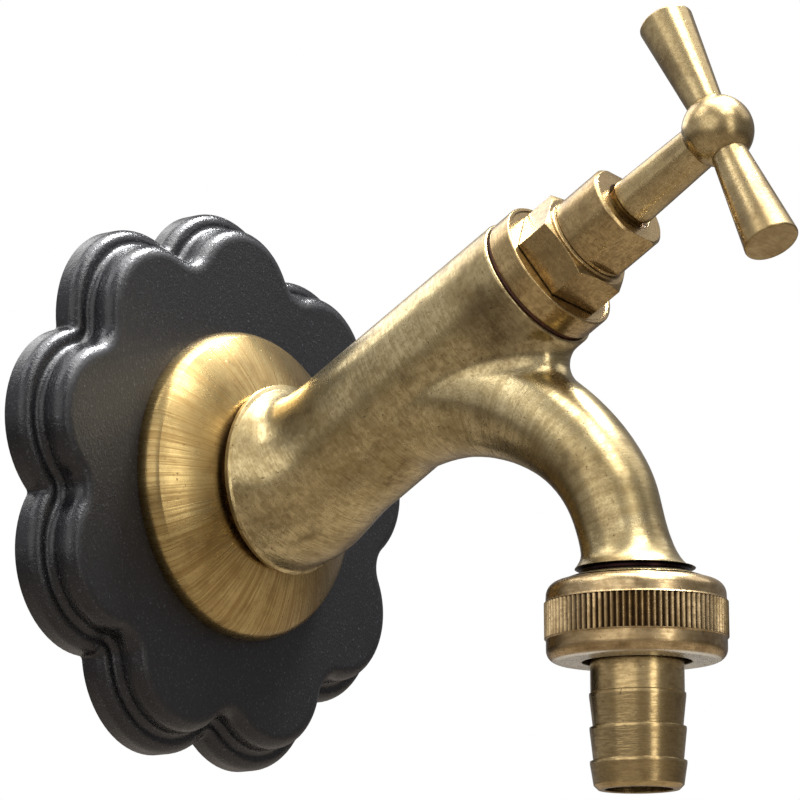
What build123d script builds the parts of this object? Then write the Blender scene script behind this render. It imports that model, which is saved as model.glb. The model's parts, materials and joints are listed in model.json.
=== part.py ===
from build123d import *
from math import cos, pi, radians, sin
import os

# Hose bib: a screw-down garden tap on a lobed wall plate, with a knurled union nut and a hose tail.
# Frame, in millimetres: the origin is where the inlet axis meets the wall, +X points out of the wall,
# +Z is up, and +Y is to the right of somebody who faces the wall.

# ---------------------------------------------------------------- driving dimensions
# Details shared by several parts: the chamfer on a turned edge, the plain length at either end of a
# thread, the radial room between parts that turn in one another, and how far a cutter overshoots.
EDGE_BREAK = 0.3
THREAD_RELIEF = 0.8
RUNNING_GAP = 0.07
OVERSHOOT = 1.0

# Inlet and barrel. "s" is the distance along the barrel's axis from where it crosses the inlet axis.
BARREL_TILT = 28.87
BARREL_X = 29.2
BARREL_BASE_R = 14.25
BARREL_ROOT_S = 12.0
BARREL_BASE_S = 14.0
BARREL_END_R = 13.83
BARREL_END_S = 63.0
BARREL_END_ROUND = 0.5
# Where the collar flows into the barrel: distance past the collar's band, rise, tilt and radius
ROOT_SECTIONS = ((-0.7, 0.0, 0.0, 18.2), (1.4, 0.0, 3.0, 17.5), (4.1, 0.1, 8.0, 16.6), (9.1, 2.2, 21.0, 14.9))

INLET_R = 10.4775
INLET_ROOT_R = 9.6
INLET_TIP_X = -15.0
INLET_THREAD_END_X = 1.4
INLET_BORE_R = 6.5
PIPE_PITCH = 1.814
THREAD_LAND = 0.36

# Wall plate
LOBES = 9
LOBE_CENTRES_R = 37.02
PLATE_TURN = 2.8
PLATE_LOBE_R = 18.74
PLATE_STEP_X = 5.4
PLATE_FACE_X = 11.6
PLATE_STEP_INSET = 3.84
PLATE_NOTCH_R = 0.9
PANEL_NOTCH_R = 5.0
PANEL_EDGE_R = 2.8
PLATE_EDGE_R = 2.3
PLATE_COVE_R = 1.4
PLATE_HOLE_R = 12.0

# Wall flange
FLANGE_R = 30.25
FLANGE_RIM_X = 12.6
FLANGE_RIM_BULGE = (29.85, 14.35)
FLANGE_SHOULDER_R = 28.8
FLANGE_SHOULDER_X = 15.8
FLANGE_DOME_MID = (23.2, 19.05)
FLANGE_SEAT_R = 17.2
FLANGE_SEAT_X = 21.4
FLANGE_ROOF_X = 19.4
FLANGE_HOLLOW_MID = (23.0, 16.9)
FLANGE_HOLLOW_R = 16.6
FLANGE_FOOT = 2.2
FLANGE_HOLE_R = 10.8

# Collar at the root of the barrel
COLLAR_X = 22.8
COLLAR_R = 18.45
COLLAR_BAND = 1.3
COLLAR_BEVEL = 0.5
COLLAR_SLOPE = (0.9, 0.5)
COLLAR_NECK_R = 16.4

# Spout: two arcs in the XZ plane, the tighter one next to the outlet; the angles run round them
SPOUT_X = 103.7
SPOUT_Z = -25.97
SPOUT_ARC_R = 33.66
SPOUT_ARC_ANGLE = 54.3
SPOUT_ROOT_ARC_R = 60.5
SPOUT_ROOT_ANGLE = 94.5
SPOUT_R = 8.2
SPOUT_ROOT_REACH = 16.0
SPOUT_REACH_POWER = 2.66
SPOUT_MAX_R = 11.2
SPOUT_SIDE_R = 13.0
SPOUT_SIDE_POWER = 1.6
SPOUT_SECTION_ANGLES = (10, 24, 38, 52, 64, 75, 85)
SPOUT_BORE_R = 5.6
SPOUT_BORE_ANGLES = (6, 20, 36, 52, 64, 76, 84)
SPOUT_FILLET = 5.0

# Outlet and union
OUTLET_X = 105.5
OUTLET_RIM_R = 10.9
OUTLET_RIM_Z = -25.4
OUTLET_RIM_SHIFT = 0.2
OUTLET_FLARE_R = 9.1
OUTLET_FLARE_RISE = 2.0
OUTLET_FLARE_SHIFT = 1.1
OUTLET_GROOVE_R = 10.0
OUTLET_GROOVE_DROP = 0.35
OUTLET_GROOVE_H = 0.55
OUTLET_COLLAR_R = 13.05
OUTLET_COLLAR_Z = -27.4
OUTLET_THREAD_R = 12.7
OUTLET_ROOT_R = 12.1
OUTLET_END_Z = -34.0
OUTLET_BORE_R = 8.2
OUTLET_MOUTH_Z = -20.0
OUTLET_MOUTH_H = 7.0
OUTLET_MOUTH_R = 5.0
UNION_WASHER_T = 2.0
TAIL_FLANGE_R = 12.3
TAIL_FLANGE_T = 2.4
NUT_R = 16.7
NUT_TOP_Z = -27.75
NUT_BOTTOM_Z = -42.4
NUT_TOP_R = 16.2
NUT_TOP_ROUND = 2.6
NUT_BAND_R = 16.4
NUT_BAND_T = 0.3
NUT_FOOT_ROUND = 2.2
NUT_THREAD_R = 12.8
NUT_ROOT_R = 13.35
NUT_HOLE_R = 10.0
KNURL_TOP_Z = -31.7
KNURL_BOTTOM_Z = -38.1
KNURL_TEETH = 92
KNURL_DEPTH = 0.6

# Hose tail
TAIL_NECK_R = 8.5
TAIL_BARB_R = 8.75
TAIL_BARB_ROOT_R = 8.15
TAIL_BARB_LAND = 0.5
TAIL_BARB_STEP = 0.12
TAIL_TIP_CHAMFER = 0.8
TAIL_BARB_TOPS = (-48.0, -54.1, -60.2)
TAIL_END_Z = -65.4
TAIL_BORE_R = 6.2

# Seat and chambers inside the barrel
SEAT_S = 28.0
SEAT_LIP = 1.0
SEAT_T = 4.0
SEAT_LIP_R = 7.1
SEAT_LIP_FOOT_R = 7.7
SEAT_BORE_R = 5.5
SEAT_BORE_FLARE = 1.5
LOWER_CHAMBER_R = 7.6
LOWER_CHAMBER_S = -5.5
LOWER_CHAMBER_FLOOR_R = 4.5
LOWER_CHAMBER_SLOPE = 3.1
CHAMBER_R = 10.4
BONNET_BORE_R = 10.75
BONNET_BORE_S = 49.0

# Headwork
WASHER_T = 0.5
WASHER_R = 12.83
WASHER_HOLE_R = 10.9
RING_R = 13.35
RING_ROUND = 0.6
RING_LIP = 0.8
RING_RECESS = 0.25
RING_END_S = 68.6
HEX_FLATS = 19.4
HEX_S = 68.5
HEX_END_S = 75.9
HEX_TURN = 48.0
HEX_CHAMFER = 0.35
HEX_END_CHAMFER = 0.7
NECK_R = 8.6
NECK_COVE = 0.3
NECK_END_S = 76.4
BONNET_THREAD_R = 10.7
BONNET_ROOT_R = 10.0
SPINDLE_THREAD_R = 5.5
SPINDLE_SHAFT_R = 4.05
SPINDLE_PITCH = 2.5
SPINDLE_LAND = 0.9
SPINDLE_ROOT_DEPTH = 0.5
SPINDLE_THREAD_S = 46.5
SPINDLE_THREAD_END_S = 58.0
GLAND_R = 8.6
GLAND_END_S = 86.9
GLAND_FLATS = 15.2
GLAND_FLATS_S = 77.2
GLAND_ROUND = 0.15
GLAND_END_CHAMFER = 0.5
GLAND_MOUTH = 0.9
GLAND_THREAD_R = 6.6
GLAND_ROOT_R = 6.1
GLAND_GAP = 0.1
PACKING_S = 67.5
PACKING_RING_T = 1.6
PACKING_RINGS = 3
PACKING_WASHER_T = 0.8
BONNET_FOOT_S = 50.0
FINE_PITCH = 1.25
SPINDLE_NUT_END_S = 61.0

# Valve
JUMPER_R = 7.0
JUMPER_STEM_R = 2.0
SEAT_WASHER_R = 6.7
SEAT_WASHER_T = 2.6
JUMPER_T = 2.2
JUMPER_TOP_S = 44.0
JUMPER_CLIP_S = 37.0
JUMPER_ROUND = 0.5
CLIP_T = 0.7
CLIP_REACH = 0.6
CLIP_GROOVE = 0.35
CLIP_SPLIT = 1.0
CLIP_ROOM = 0.1
STUD_R = 1.5
STUD_REACH = 0.6
WASHER_NUT_FLATS = 5.5
WASHER_NUT_T = 2.2
SPINDLE_FOOT_R = 4.9

# Handle
HUB_S = 87.6
HUB_NECK_R = 4.65
HUB_NECK_TOP_R = 4.25
BALL_S = 109.7
BALL_R = 6.65
BAR_TURN = 85.1
BAR_REACH = 26.4
BAR_ROOT_R = 3.3
BAR_END_R = 5.2
BAR_END_ROUND = 0.4
PEG_R = 1.9
PEG_S = 3.0
BAR_SEAT = 0.8
SQUARE = 4.8
SQUARE_S = 87.3
SQUARE_END_S = 102.0
SOCKET_ROOM = 0.4
GRUB_S = 94.5
GRUB_R = 1.5
GRUB_T = 1.9
GRUB_SOCKET = 1.5

# ---------------------------------------------------------------- frames of the three axes
# Each has its own Z along the axis; local X is +Y on the inlet and the barrel, +X on the outlet.
TILT = radians(BARREL_TILT)
INLET = Plane(origin=(0, 0, 0), x_dir=(0, 1, 0), z_dir=(1, 0, 0))
BARREL = Plane(origin=(BARREL_X, 0, 0), x_dir=(0, 1, 0), z_dir=(cos(TILT), 0, sin(TILT)))
OUTLET = Plane(origin=(OUTLET_X, 0, 0), x_dir=(1, 0, 0), z_dir=(0, 0, 1))


# ---------------------------------------------------------------- helpers
def turned(*points, rounded=()):
    """A solid turned about local Z from (radius, height) points; rounded holds (corner, size) pairs."""
    face = make_face(Polyline(*points, close=True))
    for corner, size in rounded:
        face = fillet(face.vertices().sort_by_distance(corner)[0], size)
    return revolve(Plane.XZ * face, Axis.Z)


def ridges(start, end, crest, root, pitch, land=THREAD_LAND):
    """Points of a row of thread ridges, with flat crests, from start to end."""
    points = []
    count = int(abs(end - start) / pitch)
    step = pitch if end > start else -pitch
    edge = land if end > start else -land
    for k in range(count):
        low = start + k * step
        points.append((crest, low))
        points.append((crest, low + edge))
        points.append((root, low + edge + (step - edge) * 0.45))
        points.append((root, low + edge + (step - edge) * 0.55))
    last = start + count * step
    points.append((crest, last))
    points.append((crest, last + edge))
    return points


# ---------------------------------------------------------------- wall plate and flange
def lobed(lobe_r, notch_r):
    """The plate's outline: nine round lobes, with the notches between them rounded."""
    outline = Circle(LOBE_CENTRES_R)
    for k in range(LOBES):
        turn = 90 - PLATE_TURN + k * 360 / LOBES
        outline += Rot(0, 0, turn) * Pos(LOBE_CENTRES_R, 0) * Circle(lobe_r)
    return fillet(outline.vertices(), notch_r)


def shelf_face(plate):
    """The flat ledge of the base, round the raised panel."""
    return plate.faces().filter_by(Plane.XY).sort_by(Axis.Z)[1]


def make_wall_plate():
    """A cast plate: a lobed base, a cove, and a raised lobed panel with a rounded edge."""
    base = extrude(lobed(PLATE_LOBE_R, PLATE_NOTCH_R), PLATE_STEP_X)
    panel_outline = Pos(0, 0, PLATE_STEP_X) * lobed(PLATE_LOBE_R - PLATE_STEP_INSET, PANEL_NOTCH_R)
    plate = base + extrude(panel_outline, PLATE_FACE_X - PLATE_STEP_X)
    plate = fillet(plate.edges().group_by(Axis.Z)[-1], PANEL_EDGE_R)
    plate = fillet(shelf_face(plate).outer_wire().edges(), PLATE_EDGE_R)
    plate = fillet(shelf_face(plate).inner_wires()[0].edges(), PLATE_COVE_R)
    plate -= Cylinder(PLATE_HOLE_R, 4 * PLATE_FACE_X)
    back = plate.edges().group_by(Axis.Z)[0]
    return INLET * chamfer(back, EDGE_BREAK)


def make_wall_flange():
    """A hollow turned rosette: a rounded rim, a crisp shoulder and a low dome up to the collar."""
    hole_top = (FLANGE_HOLE_R, FLANGE_SEAT_X)
    hole_foot = (FLANGE_HOLE_R, FLANGE_ROOF_X)
    seat = (FLANGE_SEAT_R, FLANGE_SEAT_X)
    shoulder = (FLANGE_SHOULDER_R, FLANGE_SHOULDER_X)
    rim = (FLANGE_R, FLANGE_RIM_X)
    foot = (FLANGE_R, PLATE_FACE_X)
    hollow_start = (FLANGE_R - FLANGE_FOOT, PLATE_FACE_X)
    hollow_end = (FLANGE_HOLLOW_R, FLANGE_ROOF_X)
    profile = Curve() + [
        Polyline(hollow_end, hole_foot, hole_top, seat),
        ThreePointArc(seat, FLANGE_DOME_MID, shoulder),
        ThreePointArc(shoulder, FLANGE_RIM_BULGE, rim),
        Polyline(rim, foot, hollow_start),
        ThreePointArc(hollow_start, FLANGE_HOLLOW_MID, hollow_end),
    ]
    return INLET * revolve(Plane.XZ * make_face(profile), Axis.Z)


# ---------------------------------------------------------------- tap body
def barrel_section(s, radius):
    """A round section square to the barrel's axis."""
    return BARREL * Pos(0, 0, s) * Circle(radius)


def tilted_section(x, z, tilt, radius):
    """A round section in a plane tilted from upright towards the barrel's slope."""
    turn = radians(tilt)
    plane = Plane(origin=(x, 0, z), x_dir=(0, 1, 0), z_dir=(cos(turn), 0, sin(turn)))
    return plane * Circle(radius)


def make_barrel():
    """The sloping barrel, a slight cone, and the root where it swells into the round collar."""
    band_end = COLLAR_X + COLLAR_BAND
    sections = []
    for past, rise, tilt, radius in ROOT_SECTIONS:
        sections.append(tilted_section(band_end + past, rise, tilt, radius))
    for s in (BARREL_ROOT_S, BARREL_BASE_S):
        sections.append(barrel_section(s, BARREL_BASE_R))
    root = loft(sections)
    end = (BARREL_END_R, BARREL_END_S)
    tube = turned((0, BARREL_BASE_S), (BARREL_BASE_R, BARREL_BASE_S), end, (0, BARREL_END_S),
                  rounded=[(end, BARREL_END_ROUND)])
    return root, BARREL * tube


def make_collar():
    """The round foot that clamps the flange, the narrower neck behind it and the inlet shank."""
    band_end = COLLAR_X + COLLAR_BAND
    slope_depth, slope_length = COLLAR_SLOPE
    slope_end = (COLLAR_R - slope_depth, band_end + slope_length)
    thread_start = INLET_TIP_X + OVERSHOOT
    profile = [(0, INLET_TIP_X), (INLET_ROOT_R - EDGE_BREAK, INLET_TIP_X)]
    profile += ridges(thread_start, INLET_THREAD_END_X, INLET_R, INLET_ROOT_R, PIPE_PITCH)
    profile.append((INLET_ROOT_R, INLET_THREAD_END_X + THREAD_RELIEF))
    profile.append((INLET_ROOT_R, FLANGE_SEAT_X))
    profile.append((COLLAR_NECK_R, FLANGE_SEAT_X))
    profile.append((COLLAR_NECK_R, COLLAR_X))
    profile.append((COLLAR_R - COLLAR_BEVEL, COLLAR_X))
    profile.append((COLLAR_R, COLLAR_X + COLLAR_BEVEL))
    profile += [(COLLAR_R, band_end), slope_end, (0, slope_end[1])]
    return INLET * turned(*profile)


def spout_point(angle):
    """Centre and distance from the outlet, at this angle round the spout's two arcs."""
    turn = radians(angle)
    joint = radians(SPOUT_ARC_ANGLE)
    centre_x = SPOUT_X - SPOUT_ARC_R
    if angle <= SPOUT_ARC_ANGLE:
        x = centre_x + SPOUT_ARC_R * cos(turn)
        z = SPOUT_Z + SPOUT_ARC_R * sin(turn)
        return x, z, SPOUT_ARC_R * turn
    offset_r = SPOUT_ARC_R - SPOUT_ROOT_ARC_R
    x = centre_x + offset_r * cos(joint) + SPOUT_ROOT_ARC_R * cos(turn)
    z = SPOUT_Z + offset_r * sin(joint) + SPOUT_ROOT_ARC_R * sin(turn)
    return x, z, SPOUT_ARC_R * joint + SPOUT_ROOT_ARC_R * (turn - joint)


def spout_plane(angle, shift=0.0):
    """A plane square to the spout's centreline, moved inwards by shift."""
    x, z, _ = spout_point(angle)
    turn = radians(angle)
    place = (x - shift * cos(turn), 0, z - shift * sin(turn))
    return Plane(origin=place, x_dir=(0, 1, 0), z_dir=(-sin(turn), 0, cos(turn)))


def spout_outline(angle):
    """The spout's outer section: round at the outlet, and wider and taller towards the barrel."""
    share = spout_point(angle)[2] / spout_point(SPOUT_ROOT_ANGLE)[2]
    reach = SPOUT_R + (SPOUT_ROOT_REACH - SPOUT_R) * share ** SPOUT_REACH_POWER
    height = min(reach, SPOUT_MAX_R)
    width = SPOUT_R + (SPOUT_SIDE_R - SPOUT_R) * share ** SPOUT_SIDE_POWER
    return spout_plane(angle, reach - height) * Ellipse(width, height)


def level_section(shift, z, radius):
    """A level round section this far inwards from the outlet's axis."""
    return Plane(origin=(OUTLET_X - shift, 0, z), x_dir=(0, 1, 0), z_dir=(0, 0, 1)) * Circle(radius)


def make_spout():
    """The swan-neck spout, from its flared outlet rim up into the barrel."""
    sections = [
        level_section(OUTLET_RIM_SHIFT, OUTLET_RIM_Z, OUTLET_RIM_R),
        level_section(OUTLET_FLARE_SHIFT, OUTLET_RIM_Z + OUTLET_FLARE_RISE, OUTLET_FLARE_R),
    ]
    for angle in SPOUT_SECTION_ANGLES:
        sections.append(spout_outline(angle))
    return loft(sections + [spout_outline(SPOUT_ROOT_ANGLE)])


def make_outlet():
    """The shadow groove, the shoulder and the threaded end that carries the union nut."""
    groove_top = OUTLET_RIM_Z - OUTLET_GROOVE_DROP
    profile = [(0, OUTLET_RIM_Z), (OUTLET_RIM_R, OUTLET_RIM_Z)]
    profile.append((OUTLET_GROOVE_R, groove_top))
    profile.append((OUTLET_GROOVE_R, groove_top - OUTLET_GROOVE_H))
    profile.append((OUTLET_COLLAR_R, OUTLET_COLLAR_Z))
    profile.append((OUTLET_ROOT_R, OUTLET_COLLAR_Z - EDGE_BREAK / 2))
    thread_start = OUTLET_COLLAR_Z - THREAD_RELIEF
    thread = ridges(thread_start, OUTLET_END_Z, OUTLET_THREAD_R, OUTLET_ROOT_R, PIPE_PITCH)
    profile += thread[:-2]
    profile += [(OUTLET_ROOT_R, OUTLET_END_Z), (0, OUTLET_END_Z)]
    return OUTLET * turned(*profile)


def make_upper_chamber():
    """The space above the seat, up to the bore that takes the bonnet; the seat's lip stands in it."""
    lip = SEAT_S + SEAT_LIP
    top = BARREL_END_S + OVERSHOOT
    ledge = BONNET_BORE_R - CHAMBER_R
    return BARREL * turned((0, lip), (SEAT_LIP_R, lip), (SEAT_LIP_FOOT_R, SEAT_S), (CHAMBER_R, SEAT_S),
                           (CHAMBER_R, BONNET_BORE_S), (BONNET_BORE_R, BONNET_BORE_S + ledge),
                           (BONNET_BORE_R, top), (0, top))


def make_lower_chamber():
    """The space below the seat, with the round hole through the seat."""
    bottom = SEAT_S - SEAT_T
    through = SEAT_S + SEAT_LIP + OVERSHOOT
    floor_s = LOWER_CHAMBER_S
    return BARREL * turned((0, floor_s), (LOWER_CHAMBER_FLOOR_R, floor_s),
                           (LOWER_CHAMBER_R, floor_s + LOWER_CHAMBER_SLOPE),
                           (LOWER_CHAMBER_R, bottom - SEAT_BORE_FLARE),
                           (SEAT_BORE_R, bottom), (SEAT_BORE_R, through), (0, through))


def make_inlet_bore():
    """The straight bore from the inlet's tip into the lower chamber."""
    start = INLET_TIP_X - OVERSHOOT
    length = BARREL_X + 2 * OVERSHOOT - start
    return INLET * Pos(0, 0, start + length / 2) * Cylinder(INLET_BORE_R, length)


def make_spout_bore():
    """The curved bore from the upper chamber to the outlet."""
    return loft([spout_plane(angle) * Circle(SPOUT_BORE_R) for angle in SPOUT_BORE_ANGLES])


def make_outlet_bore():
    """The mouth, which widens from the spout's bore to the outlet's face."""
    end = OUTLET_END_Z - OVERSHOOT
    return OUTLET * turned((0, OUTLET_MOUTH_Z), (OUTLET_MOUTH_R, OUTLET_MOUTH_Z),
                           (OUTLET_BORE_R, OUTLET_MOUTH_Z - OUTLET_MOUTH_H), (OUTLET_BORE_R, end), (0, end))


def make_tap_body():
    """One casting: collar and inlet shank, barrel with its seat, spout and threaded outlet."""
    root, tube = make_barrel()
    spout = make_spout()
    body = tube + spout
    body = fillet(new_edges(tube, spout, combined=body), SPOUT_FILLET)
    body -= make_upper_chamber()
    body = body + root + make_collar() + make_outlet()
    for hollow in (make_lower_chamber, make_inlet_bore, make_spout_bore, make_outlet_bore):
        body -= hollow()
    return body


# ---------------------------------------------------------------- headwork
def make_bonnet_washer():
    """The flat fibre washer between the barrel's end and the bonnet's flange."""
    end = BARREL_END_S + WASHER_T
    return BARREL * turned((WASHER_HOLE_R, BARREL_END_S), (WASHER_R, BARREL_END_S), (WASHER_R, end),
                           (WASHER_HOLE_R, end))


def hexagon(flats, turn, start, end):
    """A hexagonal prism along local Z."""
    radius = flats / 2 / cos(pi / 6)
    return extrude(Pos(0, 0, start) * RegularPolygon(radius, 6, rotation=turn), end - start)


def make_bonnet_outside():
    """The bonnet's outside, solid: male thread, round flange with a lip, chamfered hexagon and neck."""
    flange_s = BARREL_END_S + WASHER_T
    corner_r = HEX_FLATS / 2 / cos(pi / 6) + EDGE_BREAK
    core_r = HEX_FLATS / 2 - EDGE_BREAK
    floor_s = RING_END_S - RING_RECESS
    lip_r = RING_R - RING_LIP
    ring_foot = (RING_R, flange_s)
    ring_top = (RING_R, RING_END_S)
    neck_foot = (NECK_R, HEX_END_S)
    outside = [(0, BONNET_FOOT_S), (BONNET_ROOT_R, BONNET_FOOT_S)]
    thread_end = flange_s - 2 * THREAD_RELIEF
    outside += ridges(BONNET_FOOT_S + THREAD_RELIEF, thread_end, BONNET_THREAD_R, BONNET_ROOT_R, FINE_PITCH)
    outside += [(BONNET_ROOT_R, flange_s - THREAD_RELIEF), (BONNET_ROOT_R, flange_s), ring_foot, ring_top]
    outside += [(lip_r, RING_END_S), (lip_r - RING_RECESS / 2, floor_s), (core_r, floor_s)]
    outside += [(core_r, HEX_END_S), neck_foot, (NECK_R, NECK_END_S), (0, NECK_END_S)]
    rounded = [(ring_foot, RING_ROUND), (ring_top, RING_ROUND / 2), (neck_foot, NECK_COVE)]
    nut = hexagon(HEX_FLATS, HEX_TURN, HEX_S, HEX_END_S)
    nut &= turned((0, HEX_S), (corner_r - HEX_CHAMFER, HEX_S), (corner_r, HEX_S + HEX_CHAMFER),
                  (corner_r, HEX_END_S - HEX_END_CHAMFER), (HEX_FLATS / 2, HEX_END_S), (0, HEX_END_S))
    return turned(*outside, rounded=rounded) + nut


def make_bonnet():
    """The headwork's body, bored for the spindle's screw, the packing and the gland nut."""
    thread_r = SPINDLE_THREAD_R + RUNNING_GAP
    root_r = thread_r + SPINDLE_ROOT_DEPTH
    neck_bore_r = SPINDLE_SHAFT_R + EDGE_BREAK
    gland_r = GLAND_THREAD_R + RUNNING_GAP
    neck_s = PACKING_S - OVERSHOOT
    foot_s = BONNET_FOOT_S - OVERSHOOT
    top_s = NECK_END_S + OVERSHOOT
    bore = [(0, foot_s), (root_r + EDGE_BREAK, foot_s), (root_r, BONNET_FOOT_S)]
    thread_start = BONNET_FOOT_S + THREAD_RELIEF
    bore += ridges(thread_start, SPINDLE_NUT_END_S, thread_r, root_r, SPINDLE_PITCH, SPINDLE_LAND)
    bore += [(root_r, SPINDLE_NUT_END_S + THREAD_RELIEF), (root_r, neck_s - EDGE_BREAK)]
    bore += [(neck_bore_r, neck_s), (neck_bore_r, PACKING_S), (gland_r, PACKING_S)]
    bore += [(gland_r, top_s), (0, top_s)]
    return BARREL * (make_bonnet_outside() - turned(*bore))


def make_gland_packing():
    """Packing rings stacked round the spindle, one solid each."""
    inner = SPINDLE_SHAFT_R + RUNNING_GAP
    rings = []
    for k in range(PACKING_RINGS):
        low = PACKING_S + k * PACKING_RING_T
        high = low + PACKING_RING_T
        ring = turned((inner, low + EDGE_BREAK), (inner + EDGE_BREAK, low), (GLAND_THREAD_R, low),
                      (GLAND_THREAD_R, high), (inner + EDGE_BREAK, high), (inner, high - EDGE_BREAK))
        rings.append(BARREL * ring)
    return Compound(rings)


def make_packing_washer():
    """The thin brass washer that the gland nut presses on the packing."""
    low = PACKING_S + PACKING_RINGS * PACKING_RING_T
    high = low + PACKING_WASHER_T
    inner = SPINDLE_SHAFT_R + 2 * RUNNING_GAP
    outer = GLAND_THREAD_R - RUNNING_GAP
    return BARREL * turned((inner, low), (outer, low), (outer, high), (inner, high))


def make_gland_nut():
    """The round gland nut: threaded nose inside the bonnet, two wrench flats outside."""
    nose_s = PACKING_S + PACKING_RINGS * PACKING_RING_T + PACKING_WASHER_T
    foot_s = NECK_END_S + GLAND_GAP
    bore_r = SPINDLE_SHAFT_R + RUNNING_GAP
    foot = (GLAND_R, foot_s)
    profile = [(bore_r + EDGE_BREAK, nose_s), (GLAND_ROOT_R, nose_s)]
    thread_end = NECK_END_S - THREAD_RELIEF
    profile += ridges(nose_s + THREAD_RELIEF, thread_end, GLAND_THREAD_R, GLAND_ROOT_R, FINE_PITCH)
    profile += [(GLAND_ROOT_R, NECK_END_S - EDGE_BREAK), (GLAND_ROOT_R, foot_s), foot]
    profile += [(GLAND_R, GLAND_END_S - GLAND_END_CHAMFER), (GLAND_R - GLAND_END_CHAMFER, GLAND_END_S)]
    profile += [(bore_r + GLAND_MOUTH, GLAND_END_S), (bore_r, GLAND_END_S - GLAND_MOUTH)]
    profile.append((bore_r, nose_s + EDGE_BREAK))
    nut = turned(*profile, rounded=[(foot, GLAND_ROUND)])
    flat_turn = HEX_TURN + 30
    flat_length = GLAND_END_S - GLAND_FLATS_S + OVERSHOOT
    for side in (0, 180):
        nut -= Rot(0, 0, flat_turn + side) * flat_cutter(GLAND_FLATS, GLAND_FLATS_S, flat_length)
    return BARREL * nut


def flat_cutter(flats, start, length):
    """The block that cuts one flat, this wide across the pair, on the +X side of local Z."""
    depth = GLAND_R
    return Pos(flats / 2 + depth / 2, 0, start + length / 2) * Box(depth, 4 * depth, length)


# ---------------------------------------------------------------- spindle and valve
def make_spindle():
    """The rising spindle: foot, screw thread, plain shaft through the packing, and square end."""
    foot_s = SEAT_S + SEAT_LIP + SEAT_WASHER_T + JUMPER_T + 2 * RUNNING_GAP
    root_r = SPINDLE_THREAD_R - SPINDLE_ROOT_DEPTH
    hole_r = JUMPER_STEM_R + RUNNING_GAP
    groove_r = hole_r + CLIP_REACH + CLIP_ROOM
    groove_low = JUMPER_CLIP_S - CLIP_ROOM
    groove_high = JUMPER_CLIP_S + CLIP_T + CLIP_ROOM
    foot = (SPINDLE_FOOT_R, foot_s)
    tip = (SPINDLE_SHAFT_R, SQUARE_END_S)
    thread = ridges(SPINDLE_THREAD_S, SPINDLE_THREAD_END_S, SPINDLE_THREAD_R, root_r, SPINDLE_PITCH,
                    SPINDLE_LAND)
    profile = [(hole_r, foot_s), foot, (SPINDLE_FOOT_R, SPINDLE_THREAD_S - THREAD_RELIEF)]
    profile += thread
    profile.append((SPINDLE_SHAFT_R, thread[-1][1] + THREAD_RELIEF))
    profile += [tip, (0, SQUARE_END_S), (0, JUMPER_TOP_S + EDGE_BREAK), (hole_r, JUMPER_TOP_S)]
    profile += [(hole_r, groove_high), (groove_r, groove_high), (groove_r, groove_low), (hole_r, groove_low)]
    spindle = turned(*profile, rounded=[(foot, EDGE_BREAK), (tip, EDGE_BREAK)])
    length = SQUARE_END_S - SQUARE_S + OVERSHOOT
    for k in range(4):
        spindle -= Rot(0, 0, BAR_TURN + k * 90) * flat_cutter(SQUARE, SQUARE_S, length)
    return BARREL * spindle


def make_jumper_valve():
    """The jumper: a disc over the seat, its stem in the spindle's foot, and a stud for the washer."""
    disc_s = SEAT_S + SEAT_LIP + SEAT_WASHER_T
    top = disc_s + JUMPER_T
    stud_s = SEAT_S + SEAT_LIP - WASHER_NUT_T - STUD_REACH
    stem_s = JUMPER_TOP_S - 2 * EDGE_BREAK
    groove_r = JUMPER_STEM_R - CLIP_GROOVE
    clip_high = JUMPER_CLIP_S + CLIP_T
    stud_end = (STUD_R, stud_s)
    rim = (JUMPER_R, top)
    stem_end = (JUMPER_STEM_R, stem_s)
    profile = [(0, stud_s), stud_end, (STUD_R, disc_s), (JUMPER_R, disc_s), rim, (JUMPER_STEM_R, top)]
    profile += [(JUMPER_STEM_R, JUMPER_CLIP_S), (groove_r, JUMPER_CLIP_S)]
    profile += [(groove_r, clip_high), (JUMPER_STEM_R, clip_high), stem_end, (0, stem_s)]
    rounded = [(stud_end, EDGE_BREAK), (rim, JUMPER_ROUND), (stem_end, JUMPER_ROUND)]
    return BARREL * turned(*profile, rounded=rounded)


def make_seat_washer():
    """The rubber washer that closes the seat."""
    low = SEAT_S + SEAT_LIP
    high = low + SEAT_WASHER_T
    edge = (SEAT_WASHER_R, low)
    return BARREL * turned((STUD_R, low), edge, (SEAT_WASHER_R, high), (STUD_R, high),
                           rounded=[(edge, EDGE_BREAK)])


def make_washer_nut():
    """The small hexagon nut that holds the rubber washer on the jumper's stud."""
    high = SEAT_S + SEAT_LIP
    low = high - WASHER_NUT_T
    flat_r = WASHER_NUT_FLATS / 2
    corner_r = flat_r / cos(pi / 6)
    nut = hexagon(WASHER_NUT_FLATS, HEX_TURN, low, high)
    nut &= turned((0, low), (flat_r, low), (corner_r, low + EDGE_BREAK), (corner_r, high), (0, high))
    return BARREL * (nut - Pos(0, 0, (low + high) / 2) * Cylinder(STUD_R, WASHER_NUT_T + 2 * OVERSHOOT))


def make_jumper_clip():
    """The split ring that keeps the jumper's stem in the spindle's foot."""
    inner = JUMPER_STEM_R - CLIP_GROOVE
    outer = JUMPER_STEM_R + RUNNING_GAP + CLIP_REACH
    middle_s = JUMPER_CLIP_S + CLIP_T / 2
    split = Pos(outer, 0, middle_s) * Box(2 * (outer - CLIP_GROOVE), CLIP_SPLIT, 2 * CLIP_T)
    return BARREL * (Pos(0, 0, middle_s) * (Cylinder(outer, CLIP_T) - Cylinder(inner, CLIP_T)) - split)


# ---------------------------------------------------------------- handle
def bar_frame(turn):
    """A frame at the ball's centre with Z along one arm of the handle."""
    angle = radians(turn)
    return Plane(origin=(0, 0, BALL_S), x_dir=(0, 0, 1), z_dir=(cos(angle), sin(angle), 0))


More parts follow.
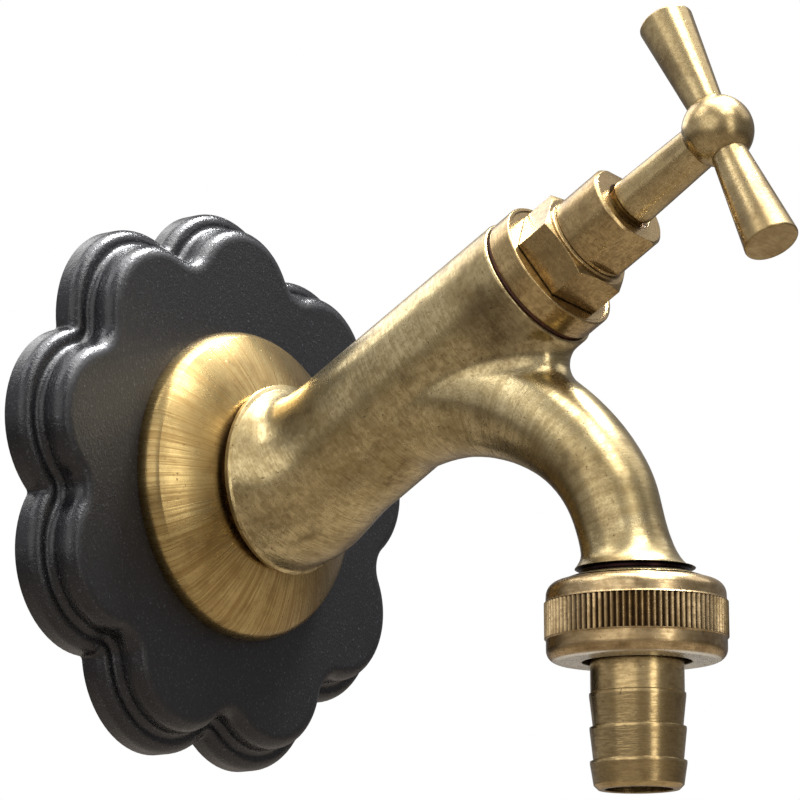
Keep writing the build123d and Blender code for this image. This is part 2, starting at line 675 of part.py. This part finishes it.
def grub_frame():
    """A frame on the hub's axis with Z along the grub screw, square to the arms."""
    angle = radians(BAR_TURN)
    return Plane(origin=(0, 0, GRUB_S), x_dir=(0, 0, 1), z_dir=(sin(angle), -cos(angle), 0))


def make_handle_hub():
    """The ball with its tapered neck, bored square for the spindle and crosswise for the two arms."""
    joint_s = BALL_S - (BALL_R ** 2 - HUB_NECK_TOP_R ** 2) ** 0.5
    foot = (HUB_NECK_R, HUB_S)
    neck = turned((0, HUB_S), foot, (HUB_NECK_TOP_R, joint_s), (0, joint_s), rounded=[(foot, EDGE_BREAK)])
    hub = neck + Pos(0, 0, BALL_S) * Sphere(BALL_R)
    socket_s = HUB_S - OVERSHOOT
    socket = Pos(0, 0, socket_s) * Rot(0, 0, BAR_TURN) * Rectangle(SQUARE, SQUARE)
    hub -= extrude(socket, SQUARE_END_S + SOCKET_ROOM - socket_s)
    for turn in (BAR_TURN, BAR_TURN + 180):
        hub -= bar_frame(turn) * Pos(0, 0, PEG_S + BALL_R / 2) * Cylinder(PEG_R, BALL_R)
    hub -= grub_frame() * Pos(0, 0, SQUARE / 2 + GRUB_T) * Cylinder(GRUB_R, 2 * GRUB_T)
    return BARREL * hub


def make_handle_bar(turn):
    """One arm: a peg in the ball, a seat hollowed to fit the ball, and a taper that swells outwards."""
    root = BALL_R - 2 * BAR_SEAT
    end = (BAR_END_R, BAR_REACH)
    bar = turned((0, root), (BAR_ROOT_R, root), end, (0, BAR_REACH), rounded=[(end, BAR_END_ROUND)])
    bar -= Sphere(BALL_R)
    peg_end = BALL_R + BAR_SEAT
    peg = Pos(0, 0, (PEG_S + peg_end) / 2) * Cylinder(PEG_R, peg_end - PEG_S)
    return BARREL * (bar_frame(turn) * (bar + peg))


def make_handle_grub_screw():
    """The socketed grub screw that holds the hub on the spindle's square."""
    low = SQUARE / 2
    high = low + GRUB_T
    foot = (GRUB_R, low)
    screw = turned((0, low), foot, (GRUB_R, high), (0, high), rounded=[(foot, EDGE_BREAK)])
    screw -= hexagon(GRUB_SOCKET, 0, (low + high) / 2, high + OVERSHOOT)
    return BARREL * (grub_frame() * screw)


# ---------------------------------------------------------------- union and hose tail
def make_union_washer():
    """The flat rubber washer between the outlet's face and the hose tail."""
    low = OUTLET_END_Z - UNION_WASHER_T
    return OUTLET * turned((OUTLET_BORE_R, low), (TAIL_FLANGE_R, low), (TAIL_FLANGE_R, OUTLET_END_Z),
                           (OUTLET_BORE_R, OUTLET_END_Z))


def make_hose_tail():
    """The hose tail: flange under the washer, neck through the nut, and three barbs."""
    top = OUTLET_END_Z - UNION_WASHER_T
    neck_z = top - TAIL_FLANGE_T
    profile = [(TAIL_BORE_R, top), (TAIL_FLANGE_R, top), (TAIL_FLANGE_R, neck_z), (TAIL_NECK_R, neck_z)]
    profile.append((TAIL_NECK_R, TAIL_BARB_TOPS[0]))
    barb_ends = TAIL_BARB_TOPS[1:] + (TAIL_END_Z + TAIL_TIP_CHAMFER,)
    for barb_top, barb_end in zip(TAIL_BARB_TOPS, barb_ends):
        crest_z = barb_top - TAIL_BARB_STEP
        profile += [(TAIL_BARB_R, crest_z), (TAIL_BARB_R, crest_z - TAIL_BARB_LAND)]
        profile.append((TAIL_BARB_ROOT_R, barb_end))
    profile += [(TAIL_BARB_ROOT_R - TAIL_TIP_CHAMFER, TAIL_END_Z), (TAIL_BORE_R, TAIL_END_Z)]
    return OUTLET * turned(*profile)


def make_union_nut():
    """The knurled union nut: threaded inside, with a lip that lifts the hose tail's flange."""
    lip_z = OUTLET_END_Z - UNION_WASHER_T - TAIL_FLANGE_T
    shoulder = (NUT_TOP_R, NUT_TOP_Z)
    foot = (NUT_BAND_R, NUT_BOTTOM_Z)
    profile = [(NUT_ROOT_R, NUT_TOP_Z), shoulder, (NUT_BAND_R, KNURL_TOP_Z + NUT_BAND_T)]
    profile += [(NUT_R, KNURL_TOP_Z), (NUT_R, KNURL_BOTTOM_Z)]
    profile += [(NUT_BAND_R, KNURL_BOTTOM_Z - NUT_BAND_T), foot, (NUT_HOLE_R, NUT_BOTTOM_Z)]
    profile += [(NUT_HOLE_R, lip_z), (NUT_ROOT_R, lip_z)]
    thread_start = NUT_TOP_Z - EDGE_BREAK
    inside = ridges(thread_start, OUTLET_END_Z - OVERSHOOT, NUT_THREAD_R, NUT_ROOT_R, PIPE_PITCH)
    profile += reversed(inside)
    nut = turned(*profile, rounded=[(shoulder, NUT_TOP_ROUND), (foot, NUT_FOOT_ROUND)])
    return OUTLET * (nut - make_knurl_cutter())


def make_knurl_cutter():
    """A ring whose inside is the row of sharp teeth cut in the union nut's rim."""
    points = []
    for k in range(KNURL_TEETH):
        crest = 2 * pi * k / KNURL_TEETH
        valley = crest + pi / KNURL_TEETH
        points.append((NUT_R * cos(crest), NUT_R * sin(crest)))
        points.append(((NUT_R - KNURL_DEPTH) * cos(valley), (NUT_R - KNURL_DEPTH) * sin(valley)))
    teeth = make_face(Polyline(*points, close=True))
    ring = Circle(NUT_R + OVERSHOOT) - teeth
    return extrude(Pos(0, 0, KNURL_BOTTOM_Z) * ring, KNURL_TOP_Z - KNURL_BOTTOM_Z)


PARTS = {
    "wall_plate": make_wall_plate,
    "wall_flange": make_wall_flange,
    "tap_body": make_tap_body,
    "bonnet_washer": make_bonnet_washer,
    "bonnet": make_bonnet,
    "gland_packing": make_gland_packing,
    "packing_washer": make_packing_washer,
    "gland_nut": make_gland_nut,
    "spindle": make_spindle,
    "jumper_valve": make_jumper_valve,
    "jumper_clip": make_jumper_clip,
    "seat_washer": make_seat_washer,
    "washer_nut": make_washer_nut,
    "handle_hub": make_handle_hub,
    "handle_bar_upper": lambda: make_handle_bar(BAR_TURN),
    "handle_bar_lower": lambda: make_handle_bar(BAR_TURN + 180),
    "handle_grub_screw": make_handle_grub_screw,
    "union_washer": make_union_washer,
    "hose_tail": make_hose_tail,
    "union_nut": make_union_nut,
}

if __name__ == "__main__":
    os.makedirs("parts", exist_ok=True)
    for name, make in PARTS.items():
        shape = make()
        export_step(shape, f"parts/{name}.step")
        print(name, round(shape.volume), shape.is_valid)
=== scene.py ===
import json
from math import atan2, cos, pi, radians, sin

import bpy
from mathutils import Matrix, Vector


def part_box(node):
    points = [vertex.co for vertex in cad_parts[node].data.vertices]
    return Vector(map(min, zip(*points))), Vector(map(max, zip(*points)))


# Hose bib: aged brass on a black cast wall plate. Metres, +X out of the wall, +Z up.

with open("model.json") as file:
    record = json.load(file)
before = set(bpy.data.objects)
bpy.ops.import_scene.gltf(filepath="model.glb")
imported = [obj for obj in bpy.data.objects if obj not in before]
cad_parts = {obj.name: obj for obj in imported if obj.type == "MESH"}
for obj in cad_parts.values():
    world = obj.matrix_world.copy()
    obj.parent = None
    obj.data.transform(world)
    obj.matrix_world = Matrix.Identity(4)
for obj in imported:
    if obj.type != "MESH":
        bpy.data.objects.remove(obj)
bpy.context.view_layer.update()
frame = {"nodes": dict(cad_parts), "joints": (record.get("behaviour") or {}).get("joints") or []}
nodes = frame["nodes"]

# ---------------------------------------------------------------- places on the tap
joints = {joint["name"]: joint for joint in frame["joints"]}
HANDLE_AXIS = joints["handle_turn"]["axis"]
BARREL_TILT = atan2(HANDLE_AXIS[2], HANDLE_AXIS[0])
BARREL_X = joints["handle_turn"]["pos_m"][0]
OUTLET_X = joints["nut_turn"]["pos_m"][0]
PLATE_FACE_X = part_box("wall_plate")[1].x

# A point on the axis in the XZ plane, and the axis' tilt up from +X.
AXES = {
    "inlet": ((0.0, 0.0), 0.0),
    "barrel": ((BARREL_X, 0.0), BARREL_TILT),
    "outlet": ((OUTLET_X, 0.0), pi / 2),
}

SPOUT_ARC_CENTRE = (0.07004, 0.0, -0.02597)
SPOUT_BELOW_AXIS = (0.011, 0.017)
# Painted shade: a brown pool of shade where the spout leaves the barrel, centred here and fading over this reach.
PAINTED_CROTCH_SHADE = (0.0848, -0.0107, 0.0200)
PAINTED_CROTCH_SHADE_REACH = (0.012, 0.002)
RIM_LINE_TOP = (-0.0253, -0.0256)
RIM_LINE_FOOT = (-0.0270, -0.0267)

KNURL_VALLEY_R = (0.0161, 0.0166)
KNURL_FOOT = (-0.0383, -0.0381)
KNURL_TOP = (-0.0315, -0.0317)
NUT_UNDERSIDE = (-0.0420, -0.0422)


# ---------------------------------------------------------------- shader building
def set_input(tree, node, socket, value):
    """Links an output to a node's input, or writes a plain value on it."""
    if isinstance(value, bpy.types.NodeSocket):
        tree.links.new(value, node.inputs[socket])
    else:
        node.inputs[socket].default_value = value


class Shader:
    """One node tree, built a call at a time; every call but `add` and `split` returns an output socket."""

    def __init__(self, name):
        self.material = bpy.data.materials.new(name)
        self.material.use_nodes = True
        self.tree = self.material.node_tree
        self.tree.nodes.clear()
        self.place = self.add("ShaderNodeTexCoord").outputs["Object"]

    def add(self, kind, inputs=(), **settings):
        node = self.tree.nodes.new(kind)
        for key, value in settings.items():
            setattr(node, key, value)
        for socket, value in dict(inputs).items():
            set_input(self.tree, node, socket, value)
        return node

    def math(self, operation, a, b):
        return self.add("ShaderNodeMath", {0: a, 1: b}, operation=operation).outputs[0]

    def times(self, a, b):
        return self.math("MULTIPLY", a, b)

    def blend(self, amount, a, b):
        """a with the amount, 0 to 1, of b; the amount is a number or an output."""
        varies = isinstance(amount, bpy.types.NodeSocket)
        rest = self.math("SUBTRACT", 1.0, amount) if varies else 1.0 - amount
        return self.math("ADD", self.times(rest, a), self.times(amount, b))

    def length(self, vector):
        return self.add("ShaderNodeVectorMath", {0: vector}, operation="LENGTH").outputs["Value"]

    def away_from(self, point):
        return self.add("ShaderNodeVectorMath", {0: self.place, 1: point}, operation="SUBTRACT").outputs["Vector"]

    def split(self, vector):
        return self.add("ShaderNodeSeparateXYZ", {0: vector}).outputs

    def join(self, x, y, z):
        return self.add("ShaderNodeCombineXYZ", {0: x, 1: y, 2: z}).outputs[0]

    def noise(self, vector, scale, detail=2.0, roughness=0.5, w=None):
        inputs = {"Vector": vector, "Scale": scale, "Detail": detail, "Roughness": roughness}
        if w is None:
            return self.add("ShaderNodeTexNoise", inputs, noise_dimensions="3D").outputs[0]
        # The fourth coordinate's input is there only once the node has four dimensions.
        return self.add("ShaderNodeTexNoise", {**inputs, "W": w}, noise_dimensions="4D").outputs[0]

    def remap(self, value, low, high, to_low=0.0, to_high=1.0):
        inputs = {0: value, 1: low, 2: high, 3: to_low, 4: to_high}
        return self.add("ShaderNodeMapRange", inputs, clamp=True).outputs[0]

    def mix(self, amount, a, b):
        """The amount, 0 to 1, of colour b over colour a."""
        return self.add("ShaderNodeMix", {0: amount, 6: a, 7: b}, data_type="RGBA").outputs[2]

    def on_axis(self, origin, tilt):
        """Coordinates in a frame with Z along a part's axis, tilted up from +X in the XZ plane."""
        turn = tilt - pi / 2
        x, z = origin
        shift = (-x * cos(turn) - z * sin(turn), 0, x * sin(turn) - z * cos(turn))
        inputs = {"Vector": self.place, "Location": shift, "Rotation": (0, turn, 0)}
        return self.add("ShaderNodeMapping", inputs, vector_type="POINT").outputs[0]

    def turned_noise(self, local, around, along, detail):
        """Noise in cylinder coordinates: this many cells round the axis, and per metre along it and outwards."""
        x, y, z = self.split(local)
        radius = self.length(self.join(x, y, 0.0))
        divisor = self.math("MAXIMUM", radius, LEAST_RADIUS)
        round_x = self.times(self.math("DIVIDE", x, divisor), around)
        round_y = self.times(self.math("DIVIDE", y, divisor), around)
        vector = self.join(round_x, round_y, self.times(z, along))
        return self.noise(vector, 1.0, detail, MARK_ROUGHNESS, w=self.times(radius, along))

    def spout_noise(self):
        """Strokes across the spout: they change along its arc and hardly at all round its section."""
        x, y, z = self.split(self.away_from(SPOUT_ARC_CENTRE))
        reach = self.length(self.join(x, 0.0, z))
        along_x = self.times(self.math("DIVIDE", x, reach), SPOUT_CELLS_ALONG)
        along_z = self.times(self.math("DIVIDE", z, reach), SPOUT_CELLS_ALONG)
        vector = self.join(along_x, self.times(y, SPOUT_CELLS_ACROSS), along_z)
        return self.noise(vector, 1.0, STROKE_DETAIL, MARK_ROUGHNESS, w=self.times(reach, SPOUT_CELLS_ACROSS))

    def bump(self, height, distance, strength, normal=None):
        inputs = {"Height": height, "Distance": distance, "Strength": strength}
        if normal is not None:
            inputs["Normal"] = normal
        return self.add("ShaderNodeBump", inputs).outputs[0]

    def finish(self, **inputs):
        named = {key.replace("_", " "): value for key, value in inputs.items()}
        shader = self.add("ShaderNodeBsdfPrincipled", named)
        self.add("ShaderNodeOutputMaterial", {0: shader.outputs[0]})
        return self.material


def rgb(red, green, blue):
    """A colour from its screen values, 0 to 255."""
    linear = []
    for value in (red, green, blue):
        part = value / 255
        linear.append(part / 12.92 if part <= 0.04045 else ((part + 0.055) / 1.055) ** 2.4)
    return (*linear, 1.0)


# ---------------------------------------------------------------- brass
# Noise: cells per metre, detail and roughness.
CLOUDS = (60.0, 5.0, 0.62)
BLOTCHES = (190.0, 4.0, 0.6)
TARNISH_CLOUDS = (85.0, 6.0, 0.68)
SPECKS = (1500.0, 2.0, 0.5)

# Noise that follows the tool: its detail and roughness, the strokes' cells on the spout (along its arc, and per metre
# across it), and the least radius that a place is divided by.
LATHE_DETAIL = 3.0
STROKE_DETAIL = 4.0
MARK_ROUGHNESS = 0.6
SPOUT_CELLS_ALONG = 34.0
SPOUT_CELLS_ACROSS = 90.0
LEAST_RADIUS = 0.0005

# The part that the second of two noises takes where they are blended.
BLOTCHES_IN_PATINA = 0.35
STROKES_IN_STREAKS = 0.55
STREAKS_IN_WEAR = 0.4
STROKES_IN_HEIGHT = 0.5

# Where in the noise each mark begins, and where it is at its full strength.
PATINA = (0.38, 0.64)
STREAKS = (0.43, 0.58)
TARNISH = (0.52, 0.68)
SPOTS = (0.58, 0.72)
PITS = (0.68, 0.75)
WEAR = (0.1, 0.9)

# Painted shade in creases: how dark a crease is painted, from how open it is: the closed end, the open end, and the
# shade at each.
PAINTED_CREASE_SHADE = (0.20, 0.75, 0.80, 0.0)

# How strong the brown marks are, as parts of a piece's mottle.
TARNISH_PART = 0.55
SPOT_PART = 0.5

# The painted shade in the crotch: its strength at the edge and in the core, and how the clouds break it up.
PAINTED_CROTCH_SHADE_DEPTH = (0.0, 0.95)
PAINTED_CROTCH_SHADE_CLOUDS = (0.36, 0.60, 0.6, 1.0)

PIT_DEPTH = 0.6
MARK_DEPTH = 0.00006
MARK_STRENGTH = 0.5
EDGE_ROUNDING = 0.00025

# Brown for real stains, also used for painted shade in creases, the crotch and the knurl's valleys.
STAIN_AND_SHADE = rgb(56, 38, 26)
RIM_LINE = rgb(34, 20, 20)
# Painted reflection: a pale near-white for the nut's flat underside.
PAINTED_UNDERSIDE_REFLECTION = rgb(232, 232, 222)


def spout_rim_line_and_crotch_shade(s, colour, stain_and_shade):
    """A dark line under the rim above the outlet's thread, and painted shade: a brown pool of shade where the spout
    leaves the barrel.
    """
    z = s.split(s.place)[2]
    below_rim = s.times(s.remap(z, *RIM_LINE_TOP), s.remap(z, *RIM_LINE_FOOT))
    colour = s.mix(below_rim, colour, RIM_LINE)
    # Painted shade where the spout leaves the barrel.
    depth = s.remap(s.length(s.away_from(PAINTED_CROTCH_SHADE)), *PAINTED_CROTCH_SHADE_REACH, *PAINTED_CROTCH_SHADE_DEPTH)
    broken = s.remap(s.noise(s.place, *CLOUDS), *PAINTED_CROTCH_SHADE_CLOUDS)
    return s.mix(s.times(depth, broken), colour, stain_and_shade)


def knurl_valley_shade_and_underside_reflection(s, colour, stain_and_shade):
    """Painted shade in the knurl's valleys, and a painted pale reflection on the flat face under the nut."""
    x, y, z = s.split(s.away_from((OUTLET_X, 0.0, 0.0)))
    # Painted shade in the knurl's valleys.
    valley = s.remap(s.length(s.join(x, y, 0.0)), *KNURL_VALLEY_R, 1.0, 0.0)
    band = s.times(s.remap(z, *KNURL_FOOT), s.remap(z, *KNURL_TOP))
    colour = s.mix(s.times(valley, band), colour, stain_and_shade)
    # Painted reflection: the nut's underside is turned pale.
    return s.mix(s.remap(z, *NUT_UNDERSIDE), colour, PAINTED_UNDERSIDE_REFLECTION)


def brass(name, axis, pale, deep, stain_and_shade=STAIN_AND_SHADE, rough=(0.22, 0.36), lathe=(5, 2600), strokes=(14, 900), marks=0.5,
          mottle=0.5, pits=0.5, crease_shade_reach=0.0025, across_spout=False, painted_shading=None):
    """Aged brass: a pale rubbed colour, an olive patina in clouds, brown stains, tool marks and painted shade in
    creases.

    lathe and strokes are the fine and the broad tool marks: cells round the axis, and cells per metre.
    """
    s = Shader(name)
    origin, tilt = AXES[axis]
    local = s.on_axis(origin, tilt)
    fine = s.turned_noise(local, *lathe, LATHE_DETAIL)
    broad = s.turned_noise(local, *strokes, STROKE_DETAIL)
    if across_spout:
        below_barrel = s.remap(s.split(local)[0], *SPOUT_BELOW_AXIS)
        broad = s.blend(below_barrel, broad, s.spout_noise())
    blotches = s.noise(s.place, *BLOTCHES)

    patina = s.remap(s.blend(BLOTCHES_IN_PATINA, s.noise(s.place, *CLOUDS), blotches), *PATINA)
    streak = s.remap(s.blend(STROKES_IN_STREAKS, fine, broad), *STREAKS)
    tarnish = s.remap(s.noise(s.place, *TARNISH_CLOUDS), *TARNISH)
    pit = s.remap(s.noise(s.place, *SPECKS), *PITS)
    openness = s.add("ShaderNodeAmbientOcclusion", {"Distance": crease_shade_reach}, samples=8).outputs["AO"]
    colour = s.mix(s.times(patina, mottle), pale, deep)
    colour = s.mix(s.times(streak, marks), colour, deep)
    colour = s.mix(s.times(tarnish, mottle * TARNISH_PART), colour, stain_and_shade)
    colour = s.mix(s.times(s.remap(blotches, *SPOTS), mottle * SPOT_PART), colour, stain_and_shade)
    colour = s.mix(s.times(pit, pits), colour, stain_and_shade)
    # Painted shade in creases: the more closed in a place is, the more of the brown it takes.
    colour = s.mix(s.remap(openness, *PAINTED_CREASE_SHADE), colour, stain_and_shade)
    # Painted shade, and on the nut a painted reflection, that only some pieces get.
    if painted_shading:
        colour = painted_shading(s, colour, stain_and_shade)

    roughness = s.remap(s.blend(STREAKS_IN_WEAR, patina, streak), *WEAR, *rough)
    height = s.math("SUBTRACT", s.blend(STROKES_IN_HEIGHT, fine, broad), s.times(pit, PIT_DEPTH))
    rounded = s.add("ShaderNodeBevel", {"Radius": EDGE_ROUNDING}, samples=4).outputs[0]
    normal = s.bump(height, MARK_DEPTH, MARK_STRENGTH, rounded)
    return s.finish(Base_Color=colour, Metallic=1.0, Roughness=roughness, Normal=normal)


# ---------------------------------------------------------------- the other materials
IRON_GRAIN = (2000.0, 3.0, 0.65)
IRON_LUMPS = (800.0, 3.0, 0.55)
IRON_CLOUDS = (45.0, 4.0, 0.6)
LUMPS_IN_HEIGHT = 0.4
IRON_RELIEF = 0.0003
IRON_BUMP = 0.5
IRON_DARK = rgb(6, 7, 10)
IRON_LIGHT = rgb(13, 14, 17)
IRON_GLINT = rgb(92, 94, 102)
GLINTS = (0.60, 0.70)
GLINT_PART = 0.5

# Roughness of the black paint over its grain, and how much duller the flat face is, over its last half millimetre.
PAINT_GRAIN = (0.35, 0.68)
PAINT_ROUGHNESS = (0.30, 0.16)
FLAT_FACE = (PLATE_FACE_X - 0.0005, PLATE_FACE_X - 0.0001)
FLAT_DULLNESS = (0.0, 0.24)

PLAIN_GRAIN = (900.0, 3.0, 0.6)
PLAIN_RELIEF = 0.00003
PLAIN_BUMP = 0.4
PLAIN_ROUGHNESS_SPREAD = 0.12
TONE_RANGE = (0.35, 0.65)
ROUGHNESS_RANGE = (0.3, 0.7)


def black_iron():
    """Black paint on a rough casting, dull on the flat face and glossy on the moulding."""
    s = Shader("black_iron")
    grain = s.noise(s.place, *IRON_GRAIN)
    colour = s.mix(s.remap(s.noise(s.place, *IRON_CLOUDS), *TONE_RANGE), IRON_DARK, IRON_LIGHT)
    colour = s.mix(s.times(s.remap(grain, *GLINTS), GLINT_PART), colour, IRON_GLINT)
    height = s.blend(LUMPS_IN_HEIGHT, grain, s.noise(s.place, *IRON_LUMPS))
    dull = s.remap(s.split(s.place)[0], *FLAT_FACE, *FLAT_DULLNESS)
    roughness = s.math("ADD", s.remap(grain, *PAINT_GRAIN, *PAINT_ROUGHNESS), dull)
    return s.finish(Base_Color=colour, Metallic=0.0, Roughness=roughness, Specular_IOR_Level=0.5,
                    Normal=s.bump(height, IRON_RELIEF, IRON_BUMP))


def plain(name, colour, dark, rough, metallic=0.0):
    """A quiet material for the pieces inside, with a fine grain."""
    s = Shader(name)
    grain = s.noise(s.place, *PLAIN_GRAIN)
    tone = s.mix(s.remap(grain, *TONE_RANGE), colour, dark)
    roughness = s.remap(grain, *ROUGHNESS_RANGE, rough, rough + PLAIN_ROUGHNESS_SPREAD)
    return s.finish(Base_Color=tone, Metallic=metallic, Roughness=roughness,
                    Normal=s.bump(grain, PLAIN_RELIEF, PLAIN_BUMP))


LOOKS = {
    "black_iron": black_iron(),
    "flange_brass": brass("flange_brass", "inlet", rgb(190, 168, 114), rgb(134, 106, 60), rgb(80, 50, 26),
                          lathe=(110, 40), strokes=(45, 60), marks=0.75, mottle=0.6),
    "body_brass": brass("body_brass", "barrel", rgb(206, 189, 143), rgb(127, 107, 66), marks=0.6, mottle=0.7,
                        pits=0.8, across_spout=True, painted_shading=spout_rim_line_and_crotch_shade),
    "headwork_brass": brass("headwork_brass", "barrel", rgb(188, 164, 116), rgb(116, 93, 58), marks=0.6, mottle=0.6),
    "handle_brass": brass("handle_brass", "barrel", rgb(188, 169, 125), rgb(124, 102, 64), mottle=0.6),
    "nut_brass": brass("nut_brass", "outlet", rgb(208, 184, 140), rgb(126, 102, 64), rgb(34, 20, 12), mottle=0.7,
                       crease_shade_reach=0.0012, painted_shading=knurl_valley_shade_and_underside_reflection),
    "tail_brass": brass("tail_brass", "outlet", rgb(200, 177, 128), rgb(128, 104, 64), rough=(0.18, 0.30),
                        lathe=(3, 3200), strokes=(6, 1500), mottle=0.6),
    "plain_brass": plain("plain_brass", rgb(214, 180, 112), rgb(176, 142, 84), 0.26, 1.0),
    "rubber": plain("rubber", rgb(34, 32, 31), rgb(24, 23, 22), 0.62),
    "fibre": plain("fibre", rgb(92, 52, 36), rgb(64, 36, 26), 0.7),
    "graphite": plain("graphite", rgb(52, 52, 54), rgb(34, 34, 36), 0.5),
    "steel": plain("steel", rgb(172, 174, 178), rgb(136, 138, 142), 0.3, 1.0),
}
for node in nodes.values():
    for place in node.material_slots:
        place.material = LOOKS[place.material.name.split(".")[0]]

# ---------------------------------------------------------------- floor
FLOOR_Z = -0.24
FLOOR_HALF = 2.5
FLOOR_CELLS = 6.0
FLOOR_TONES = (rgb(236, 235, 233), rgb(228, 227, 225))
FLOOR_IN_REFLECTIONS = rgb(122, 114, 105)

floor_mesh = bpy.data.meshes.new("floor")
corners = [(x * FLOOR_HALF, y * FLOOR_HALF, FLOOR_Z) for x, y in ((-1, -1), (1, -1), (1, 1), (-1, 1))]
floor_mesh.from_pydata(corners, [], [(0, 1, 2, 3)])
floor = bpy.data.objects.new("floor", floor_mesh)
bpy.context.scene.collection.objects.link(floor)
paving = Shader("floor")
pale = paving.mix(paving.noise(paving.place, FLOOR_CELLS), *FLOOR_TONES)
straight = paving.add("ShaderNodeLightPath").outputs["Is Camera Ray"]
floor_colour = paving.mix(straight, FLOOR_IN_REFLECTIONS, pale)
floor_mesh.materials.append(paving.finish(Base_Color=floor_colour, Roughness=0.8))

# ---------------------------------------------------------------- world and lights
# The world's colour by height, from straight below (0) to straight above (1), and its brightness towards +Y: where
# the fade begins and ends, and the brightness at each.
SKY = (
    (0.0, (0.12, 0.10, 0.10)),
    (0.44, (0.20, 0.18, 0.18)),
    (0.52, (0.62, 0.60, 0.62)),
    (1.0, (0.62, 0.62, 0.66)),
)
SIDE_FADE = (-0.5, 0.4, 1.0, 0.4)


class World(Shader):
    """A node tree for the world, built as a material's is."""

    def __init__(self, name):
        world = bpy.data.worlds.new(name)
        bpy.context.scene.world = world
        world.use_nodes = True
        self.tree = world.node_tree
        self.tree.nodes.clear()
        self.place = self.add("ShaderNodeTexCoord").outputs["Generated"]


room = World("studio")
direction = room.split(room.place)
sky = room.add("ShaderNodeValToRGB", {0: room.remap(direction[2], -1.0, 1.0)})
while len(sky.color_ramp.elements) < len(SKY):
    sky.color_ramp.elements.new(0.5)
for element, (position, colour) in zip(sky.color_ramp.elements, SKY):
    element.position = position
    element.color = (*colour, 1.0)
studio = room.add("ShaderNodeBackground", {0: sky.outputs[0], 1: room.remap(direction[1], *SIDE_FADE)})
paper = room.add("ShaderNodeBackground", {0: (1.0, 1.0, 1.0, 1.0)})
straight = room.add("ShaderNodeLightPath").outputs["Is Camera Ray"]
seen = room.add("ShaderNodeMixShader", {0: straight, 1: studio.outputs[0], 2: paper.outputs[0]})
room.add("ShaderNodeOutputWorld", {0: seen.outputs[0]})

# Name, direction from the tap, distance, width and height, brightness (paper is 1) and colour.
SOFTBOXES = (
    ("top_right", (0.40, 0.56, 0.72), 0.9, (0.55, 0.55), 1.2, (1.0, 0.97, 0.98)),
    ("top_left", (-0.35, -0.50, 0.79), 0.9, (0.4, 0.4), 4.0, (0.96, 0.96, 1.0)),
    ("overhead", (0.22, -0.05, 0.97), 0.9, (0.5, 1.2), 7.5, (1.0, 0.99, 1.0)),
    ("rear_top", (0.10, 0.38, 0.92), 0.9, (0.24, 0.24), 90.0, (0.97, 0.98, 1.0)),
    ("back_left", (-0.78, 0.14, 0.60), 0.9, (0.6, 0.6), 2.6, (1.0, 0.98, 0.97)),
    ("strip", (0.958, -0.243, 0.187), 1.0, (0.26, 0.8), 2.6, (1.0, 0.97, 0.93)),
    ("front", (0.13, -0.95, 0.30), 1.2, (1.2, 1.0), 1.1, (1.0, 0.98, 0.97)),
)
AIM = Vector((0.08, 0.0, 0.0))


def softbox(name, place, size, brightness, colour):
    """A rectangular light that looks at the tap."""
    light = bpy.data.lights.new(name, "AREA")
    light.shape = "RECTANGLE"
    light.size, light.size_y = size
    light.energy = brightness * pi * size[0] * size[1]
    light.color = colour
    lamp = bpy.data.objects.new(name, light)
    lamp.location = place
    lamp.rotation_euler = (AIM - place).to_track_quat("-Z", "Y").to_euler()
    bpy.context.scene.collection.objects.link(lamp)


for name, direction, distance, size, brightness, colour in SOFTBOXES:
    softbox(name, AIM + Vector(direction) * distance, size, brightness, colour)

# ---------------------------------------------------------------- camera
AZIMUTH = radians(38.438)
ELEVATION = radians(-10.774)
ROLL = radians(-0.311)
TARGET = Vector((0.05131, 0.0, 0.012302))
DISTANCE = 0.83336
FOCAL_LENGTH = 197.42
SENSOR_WIDTH = 36.0
NEAR_CLIP = 0.01

back = Vector((sin(AZIMUTH) * cos(ELEVATION), -cos(AZIMUTH) * cos(ELEVATION), sin(ELEVATION)))
level_right = Vector((cos(AZIMUTH), sin(AZIMUTH), 0.0))
level_up = back.cross(level_right)
right = level_right * cos(ROLL) + level_up * sin(ROLL)
up = level_up * cos(ROLL) - level_right * sin(ROLL)
turned = Matrix((right, up, back)).transposed().to_4x4()
lens = bpy.data.cameras.new("camera")
lens.sensor_width = SENSOR_WIDTH
lens.lens = FOCAL_LENGTH
lens.clip_start = NEAR_CLIP
camera = bpy.data.objects.new("camera", lens)
camera.matrix_world = Matrix.Translation(TARGET + back * DISTANCE) @ turned
bpy.context.scene.collection.objects.link(camera)
bpy.context.scene.camera = camera
bpy.context.scene.view_settings.view_transform = "Standard"
